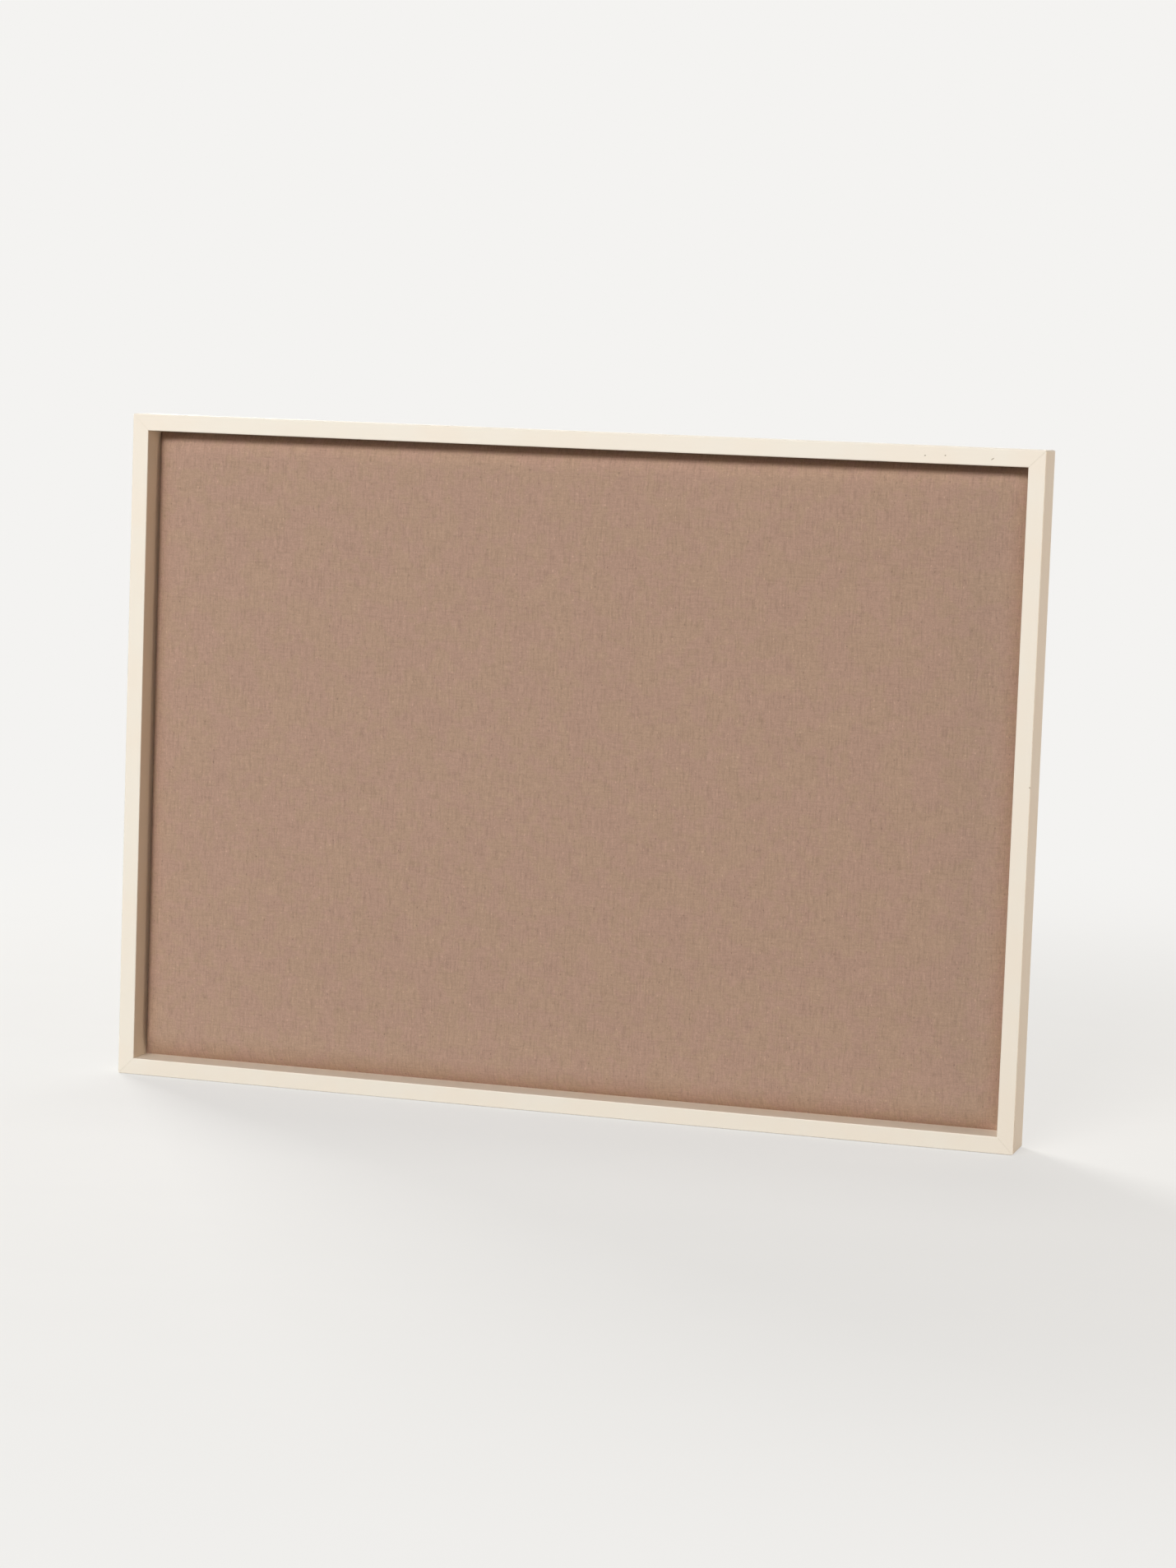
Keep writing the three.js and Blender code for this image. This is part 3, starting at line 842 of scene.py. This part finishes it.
@dataclass
class Settled:
    """How far the simulated cloth moved at each crossing of its coarse grid."""

    across: np.ndarray
    up: np.ndarray
    moved: np.ndarray

    def at(self, across: np.ndarray, up: np.ndarray) -> np.ndarray:
        """Gives the moves at the crossings of another grid.

        Args:
            across: That grid's places across the board.
            up: Its places up the board.

        Returns:
            A move for each crossing, shaped (across, up, 3).
        """
        by_row = np.stack([np.stack([np.interp(up, self.up, row[:, k]) for k in range(3)], -1)
                           for row in self.moved])
        flat = by_row.reshape(len(self.across), -1)
        columns = [np.interp(across, self.across, flat[:, i]) for i in range(flat.shape[1])]
        return np.stack(columns, -1).reshape(len(across), len(up), 3)


@dataclass
class PaddedPanel:
    """The panel in the frame: cloth pulled over wadding and a soft core, turned over at the back."""

    sight_width: float = 964 * MM
    sight_height: float = 689 * MM
    panel_width: float = 973 * MM
    panel_height: float = 698 * MM
    field_depth: float = 22 * MM
    rise: float = 14 * MM
    roll_width: float = 32 * MM
    # The roll bends gently, and the last share of its fall is steep, where the cloth is pulled down.
    roll_power: float = 2.9
    pull_power: float = 24.0
    pull_share: float = 0.16
    # The wadding has slumped: it stands out above the bottom rail, more to the right.
    sag: float = 3.6 * MM
    sag_reach: float = 36 * MM
    sag_slant: float = 0.35
    slump_width: float = 28 * MM
    slump_power: float = 2.1
    wall_gap: float = 0.2 * MM
    cloth: float = 0.8 * MM
    edge_depth: float = 9 * MM
    pad_edge: float = 0.8 * MM
    hem: float = 30 * MM
    mesh_size: float = 6 * MM
    roll_steps: int = 18
    step_power: float = 1.5
    pucker_height: float = 0.35 * MM
    pucker_length: float = 17 * MM
    pucker_width: float = 30 * MM
    pucker_reach: float = 24 * MM
    pucker_fade: float = 1.5
    # Where the four walls' puckers lie in the noise, so that no two walls have the same ones.
    pucker_seeds: tuple[float, float] = (3.7, 11.2)
    far_wall_seed: float = 5.0
    # The coarse cloth that settles in a simulation, and how far its moves are let through.
    trial_mesh: float = 14 * MM
    trial_steps: int = 6
    trial_frames: int = 20
    trial_quality: int = 6
    trial_mass: float = 0.3
    trial_stiffness: float = 15.0
    trial_bending: float = 0.5
    trial_gravity: float = 0.1
    trial_cap: float = 1.2 * MM
    field_hold: float = 0.9
    wadding_pressure: float = 60.0
    settled: Settled | None = None

    def fall(self, share: float | np.ndarray) -> float | np.ndarray:
        """The share of the rise that the cloth has fallen, at a share of its way over the roll."""
        gentle, steep = share ** self.roll_power, share ** self.pull_power
        return (1 - self.pull_share) * gentle + self.pull_share * steep

    def _sag(self, x: np.ndarray, z: np.ndarray) -> np.ndarray:
        """How far the wadding has slumped forward above the bottom rail, more to the right.

        Args:
            x: Each point's place across the board.
            z: Each point's place up the board.

        Returns:
            How much further each point of the field stands out.
        """
        above = np.clip(self.sight_height / 2 + z, 0, None)
        along = 1 + self.sag_slant * x / (self.sight_width / 2)
        return self.sag * along * np.exp(-above / self.sag_reach)

    def lines(self, sight: float, panel: float, inset: float, last: Zone) -> CutLines:
        """Sets out the grid lines along one way of the board.

        Args:
            sight: The clear width of the frame that way.
            panel: The panel's width that way.
            inset: How far inside the cloth's outer face this skin lies.
            last: The last zone that the skin has.

        Returns:
            The lines, from one edge to the other.
        """
        straight = sight / 2 - self.roll_width
        count = max(2, round(straight / self.mesh_size))
        rows = [GridLine(straight * i / count, straight * i / count) for i in range(count + 1)]
        across = self.roll_width - self.wall_gap
        for i in range(1, self.roll_steps + 1):
            # The steps grow shorter towards the wall, where the cloth turns down steeply.
            share = 1 - (1 - i / self.roll_steps) ** self.step_power
            reach = straight + (across - inset) * share
            fall = self.rise * (self.fall(share) - self.fall(rows[-1].lean))
            run = math.hypot(reach - rows[-1].reach, fall)
            rows.append(GridLine(rows[-1].arc + run, reach, share, 0.0, Zone.ROLL.value))
        runs = (
            (Zone.FLANGE, 2, panel / 2 - inset - rows[-1].reach, 0.0, 0.0),
            (Zone.EDGE, 3, 0.0, self.edge_depth, 0.0),
            (Zone.HEM, 4, -self.hem, 0.0, self.hem),
        )
        for zone, steps, out, down, turned in runs:
            if zone.value > last.value:
                break
            start = rows[-1]
            back = max(start.back, self.wall_gap)
            for i in range(1, steps + 1):
                share = i / steps
                rows.append(GridLine(start.arc + abs(out or down) * share, start.reach + out * share, 1.0,
                                     back + down * share, zone.value, start.turned + turned * share))
        sides = []
        for name, column in zip(GridLine._fields, zip(*rows)):
            values = np.array(column, float)
            sign = -1.0 if name in ("arc", "reach") else 1.0
            sides.append(np.concatenate([sign * values[:0:-1], values]))
        return CutLines(*sides)

    def _fall_up(self, up: CutLines) -> np.ndarray:
        """How far the cloth has fallen on its way up and down the board.

        Args:
            up: The grid lines along the height.

        Returns:
            The share of the rise: the usual roll at the top, and a fuller, steeper one above the
            bottom rail, where the wadding has slumped.
        """
        above = self.sight_height / 2 + up.reach
        slumped = np.clip(1 - above / self.slump_width, 0, 1) ** self.slump_power
        return np.where(up.reach < 0, np.where(up.lean < 1, slumped, 1.0), self.fall(up.lean))

    def settle(self) -> None:
        """Lets a coarse copy of the cloth settle in a simulation, and keeps how far each place moved.

        The wadding presses outwards from within, the weight of cloth and wadding pulls down, and
        the crease, where the cloth is held, stays. The moves are small, as the cloth is stretched.
        """
        trial = replace(self, mesh_size=self.trial_mesh, roll_steps=self.trial_steps)
        across = trial.lines(self.sight_width, self.panel_width, 0.0, Zone.ROLL)
        up = trial.lines(self.sight_height, self.panel_height, 0.0, Zone.ROLL)
        points, _, faces = trial.skin(0.0, Zone.ROLL)
        piece = new_piece("cloth_on_trial", points, faces)
        lean = np.maximum(across.lean[:, None], up.lean[None, :]).ravel()
        held = piece.vertex_groups.new(name="held")
        for i, share in enumerate(lean):
            held.add([i], 1.0 if share >= 1 else self.field_hold * (1 - float(share)) ** 2, "REPLACE")
        cloth = piece.modifiers.new("settling", "CLOTH")
        cloth.settings.quality = self.trial_quality
        cloth.settings.mass = self.trial_mass
        cloth.settings.tension_stiffness = cloth.settings.compression_stiffness = self.trial_stiffness
        cloth.settings.bending_stiffness = self.trial_bending
        cloth.settings.vertex_group_mass = held.name
        cloth.settings.pin_stiffness = 1.0
        cloth.settings.use_pressure = True
        cloth.settings.uniform_pressure_force = self.wadding_pressure
        cloth.settings.effector_weights.gravity = self.trial_gravity
        cloth.collision_settings.use_collision = False
        cloth.point_cache.frame_start, cloth.point_cache.frame_end = 1, self.trial_frames
        scene = bpy.context.scene
        for i in range(1, self.trial_frames + 1):
            scene.frame_set(i)
        settled = piece.evaluated_get(bpy.context.evaluated_depsgraph_get()).data
        after = np.empty(3 * len(points), dtype=np.float32)
        settled.vertices.foreach_get("co", after)
        moved = after.reshape(-1, 3) - points
        far = np.linalg.norm(moved, axis=1, keepdims=True)
        moved *= np.minimum(1.0, self.trial_cap / np.maximum(far, 1e-9))
        moved[lean >= 1] = 0.0
        bpy.data.objects.remove(piece)
        scene.frame_set(1)
        moved = moved.reshape(len(across.reach), len(up.reach), 3)
        self.settled = Settled(across.reach, up.reach, moved)
        LOG.info("cloth_on_trial: %d points, the furthest pushed %.2f mm, kept to %.2f mm",
                 len(points), far.max() / MM, self.trial_cap / MM)

    def skin(self, inset: float, last: Zone) -> tuple[np.ndarray, np.ndarray, list[tuple[int, ...]]]:
        """Makes the skin of the panel from the grid of both ways.

        Args:
            inset: How far inside the cloth's outer face the skin lies.
            last: The last zone that the skin has.

        Returns:
            The points, the places on the flat cut for each point, and the faces.
        """
        across = self.lines(self.sight_width, self.panel_width, inset, last)
        up = self.lines(self.sight_height, self.panel_height, inset, last)
        height = (1 - self.fall(across.lean[:, None])) * (1 - self._fall_up(up)[None, :])
        height = height * (1 + self._sag(across.reach[:, None], up.reach[None, :]) / self.rise)
        lean = np.maximum(across.lean[:, None], up.lean[None, :])
        depth = self.rise * (1 - height) + np.maximum(across.back[:, None], up.back[None, :]) + inset
        x = across.reach[:, None] * (1 - up.turned[None, :] / (self.panel_width / 2))
        z = up.reach[None, :] * (1 - across.turned[:, None] / (self.panel_height / 2))
        depth = depth - self._puckers(x, z) * (lean < 1)
        points = np.stack(np.broadcast_arrays(x, FRONT_FACE + self.field_depth + depth, z), -1)
        if self.settled is not None:
            points = points + self.settled.at(across.reach, up.reach) * (lean < 1)[..., None]
        flat = np.stack(np.broadcast_arrays(across.arc[:, None], up.arc[None, :]), -1)
        rows, columns = lean.shape
        # The cut has square corners missing, where two turned-over edges would lie on each other.
        beyond = Zone.FLANGE.value
        faces = []
        for i in range(rows - 1):
            turned_x = max(across.zone[i], across.zone[i + 1]) > beyond
            for k in range(columns - 1):
                if turned_x and max(up.zone[k], up.zone[k + 1]) > beyond:
                    continue
                a = i * columns + k
                faces.append((a, a + columns, a + columns + 1, a + 1))
        return points.reshape(-1, 3), flat.reshape(-1, 2), faces

    def _puckers(self, x: np.ndarray, z: np.ndarray) -> np.ndarray:
        """The small waves where the cloth is pulled to the crease between its staples.

        Args:
            x: Each point's place across the board.
            z: Each point's place up the board.

        Returns:
            How far each point stands out.
        """
        waves = np.zeros(x.shape)
        ways = ((x, z, self.sight_width), (z, x, self.sight_height))
        for (beside, along, sight), seed in zip(ways, self.pucker_seeds):
            away = sight / 2 - np.abs(beside)
            for i, k in np.argwhere((away >= 0) & (away <= self.pucker_reach)):
                fade = (1 - away[i, k] / self.pucker_reach) ** self.pucker_fade
                wall = seed + (self.far_wall_seed if beside[i, k] > 0 else 0.0)
                place = Vector((along[i, k] / self.pucker_length, wall, away[i, k] / self.pucker_width))
                waves[i, k] += fade * noise.noise(place)
        return waves * self.pucker_height

    def build_cover(self) -> None:
        """Makes the cloth with its rolled edge and turned-over hem."""
        points, flat, faces = self.skin(0.0, Zone.HEM)
        cover = new_piece("linen_cover", points, faces)
        layer = cover.data.uv_layers.new(name=CLOTH_CUT)
        corners = np.empty(len(cover.data.loops), dtype=np.int32)
        cover.data.loops.foreach_get("vertex_index", corners)
        layer.data.foreach_set("uv", flat[corners].astype(np.float32).ravel())
        cover.data.shade_smooth()
        thick = cover.modifiers.new("cloth_thickness", "SOLIDIFY")
        thick.thickness = self.cloth
        thick.offset = -1.0
        LINEN.apply(cover)
        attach(cover, BOARD)
        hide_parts("fabric_cover")

    def build_wadding(self) -> None:
        """Makes the sheet of wadding, pressed thin where the cloth is pulled down."""
        inset = self.cloth + self.wall_gap
        points, _, faces = self.skin(inset, Zone.FLANGE)
        back = points.copy()
        back[:, 1] = FRONT_FACE + self.field_depth + self.rise + self.wall_gap + inset + self.pad_edge
        count = len(points)
        rim: dict[tuple[int, int], None] = {}
        for face in faces:
            for a, b in zip(face, face[1:] + face[:1]):
                if (b, a) in rim:
                    del rim[(b, a)]
                else:
                    rim[(a, b)] = None
        closed = faces + [tuple(count + v for v in reversed(face)) for face in faces]
        closed += [(b, a, count + a, count + b) for a, b in rim]
        pad = new_piece("wadding_sheet", np.vstack([points, back]), closed)
        pad.data.shade_smooth()
        WADDING.apply(pad)
        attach(pad, BOARD)
        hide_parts("padding")
        LOG.info("wadding_sheet: %d points", 2 * count)

    def build(self) -> None:
        """Builds the panel's soft pieces and dresses its core."""
        self.settle()
        self.build_wadding()
        self.build_cover()
        dress_solid("pin_core", SOFTBOARD)


@dataclass
class BackBoard:
    """The thin hardboard back and the spring steel tabs that hold it."""

    tabs: tuple[tuple[Side, int], ...] = ((Side.TOP, 4), (Side.BOTTOM, 4), (Side.LEFT, 3), (Side.RIGHT, 3))

    def build(self) -> None:
        """Dresses the back board and its tabs."""
        dress_solid("back_board", HARDBOARD)
        for side, count in self.tabs:
            for i in range(count):
                dress_solid(f"retainer_tab_{side.value}_{i + 1}", SPRING)


@dataclass
class WallHanger:
    """A strap hanger on one stile, with its D-ring and screws."""

    side: Side

    def build(self) -> None:
        """Dresses the strap, the ring and the screws."""
        place = self.side.value
        for name in ("strap_" + place, "ring_" + place, f"screw_{place}_upper", f"screw_{place}_lower"):
            dress_solid("hanger_" + name, ZINC)


@dataclass
class WallBumpers:
    """The four rubber bumpers that keep the back off the wall."""

    places: tuple[str, ...] = CORNERS

    def build(self) -> None:
        """Dresses the bumpers."""
        for place in self.places:
            dress_solid("wall_bumper_" + place, RUBBER)


@dataclass
class Lamp:
    """A large soft lamp that looks at the middle of the board."""

    name: str
    azimuth: float
    elevation: float
    distance: float
    width: float
    height: float
    power: float
    colour: str = "ffffff"

    def build(self) -> None:
        """Hangs the lamp."""
        data = bpy.data.lights.new(self.name, "AREA")
        data.shape = "RECTANGLE"
        data.size, data.size_y = self.width, self.height
        data.energy = self.power
        data.color = linear(self.colour)[:3]
        lamp = bpy.data.objects.new(self.name, data)
        bpy.context.scene.collection.objects.link(lamp)
        away = direction(self.azimuth, self.elevation)
        lamp.rotation_mode = "QUATERNION"
        lamp.rotation_quaternion = away.to_track_quat("Z", "Y")
        lamp.location = away * self.distance
        lamp.visible_camera = False
        LOG.info("%s: %.1f W", self.name, self.power)


@dataclass
class Studio:
    """A pale floor, a pale surround and large soft lamps."""

    floor_height: float = -362.5 * MM
    floor_size: float = 60.0
    surround: str = "f4f3f1"
    ambient: float = 0.025
    lamps: tuple[Lamp, ...] = (
        Lamp("key_softbox", -7.5, 21.5, 12.0, 5.0, 2.4, 948.0),
        Lamp("left_key_softbox", -28.0, 26.0, 12.0, 3.0, 2.4, 175.0),
        Lamp("left_fill", -50.0, 8.0, 2.8, 1.0, 0.8, 7.0),
        Lamp("low_softbox", -10.0, 1.5, 8.0, 2.0, 0.3, 40.0),
        Lamp("side_bounce", 78.0, 6.0, 3.0, 0.8, 0.6, 14.7, "ffdfbe"),
        Lamp("side_softbox", 108.0, 6.0, 3.0, 1.0, 0.6, 19.0, "ffefdc"),
        Lamp("back_softbox", -136.0, 24.0, 8.0, 3.0, 2.0, 700.0),
        Lamp("overhead_softbox", -165.0, 72.0, 6.0, 1.6, 1.6, 70.0),
    )

    def build(self) -> None:
        """Lays the floor, hangs the lamps and sets the surround."""
        half = self.floor_size / 2
        signs = ((-1, -1), (1, -1), (1, 1), (-1, 1))
        corners = np.array([(half * x, half * y, self.floor_height) for x, y in signs])
        floor = new_piece("studio_floor", corners, [(0, 1, 2, 3)])
        FLOOR.apply(floor)
        for lamp in self.lamps:
            lamp.build()
        scene = bpy.context.scene
        scene.world = bpy.data.worlds.new("pale_surround")
        scene.world.use_nodes = True
        tree = scene.world.node_tree
        tree.nodes.clear()
        pale = add_node(tree, "Background", {"Color": linear(self.surround), "Strength": 1.0})
        soft = add_node(tree, "Background", {"Color": linear("ffffff"), "Strength": self.ambient})
        sky = add_node(tree, "MixShader", {0: seen_rays(tree), 1: soft, 2: pale})
        add_node(tree, "OutputWorld", {"Surface": sky})
        scene.view_settings.view_transform = "Standard"
        LOG.info("studio: floor, %d lamps, surround", len(self.lamps))


@dataclass
class Viewpoint:
    """The camera that took the photograph, solved from the frame's corners."""

    azimuth: float = 16.600
    elevation: float = 6.030
    roll: float = 2.063
    aim: tuple[float, float, float] = (28.83 * MM, FRONT_FACE, -7.51 * MM)
    distance: float = 4.13715
    lens: float = 89.985
    film: float = 36.0
    view_end: float = 200.0

    def build(self) -> None:
        """Makes the camera and gives it to the scene."""
        data = bpy.data.cameras.new("photo_camera")
        data.lens = self.lens
        data.sensor_width = self.film
        data.clip_end = self.view_end
        camera = bpy.data.objects.new("photo_camera", data)
        bpy.context.scene.collection.objects.link(camera)
        back = direction(self.azimuth, self.elevation)
        turn = (-back).to_track_quat("-Z", "Y").to_matrix().to_4x4()
        place = Matrix.Translation(Vector(self.aim) + back * self.distance)
        camera.matrix_world = place @ turn @ Matrix.Rotation(math.radians(self.roll), 4, "Z")
        bpy.context.scene.camera = camera
        LOG.info("camera: %.1f mm lens, %.2f m away", self.lens, self.distance)


def main() -> None:
    """Builds the board, the studio and the camera."""
    logging.basicConfig(level=logging.INFO, format="%(message)s")
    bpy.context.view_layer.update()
    Viewpoint().build()
    BoxFrame().build()
    PaddedPanel().build()
    BackBoard().build()
    for side in (Side.LEFT, Side.RIGHT):
        WallHanger(side).build()
    WallBumpers().build()
    Studio().build()


if __name__ == "__main__":
    main()
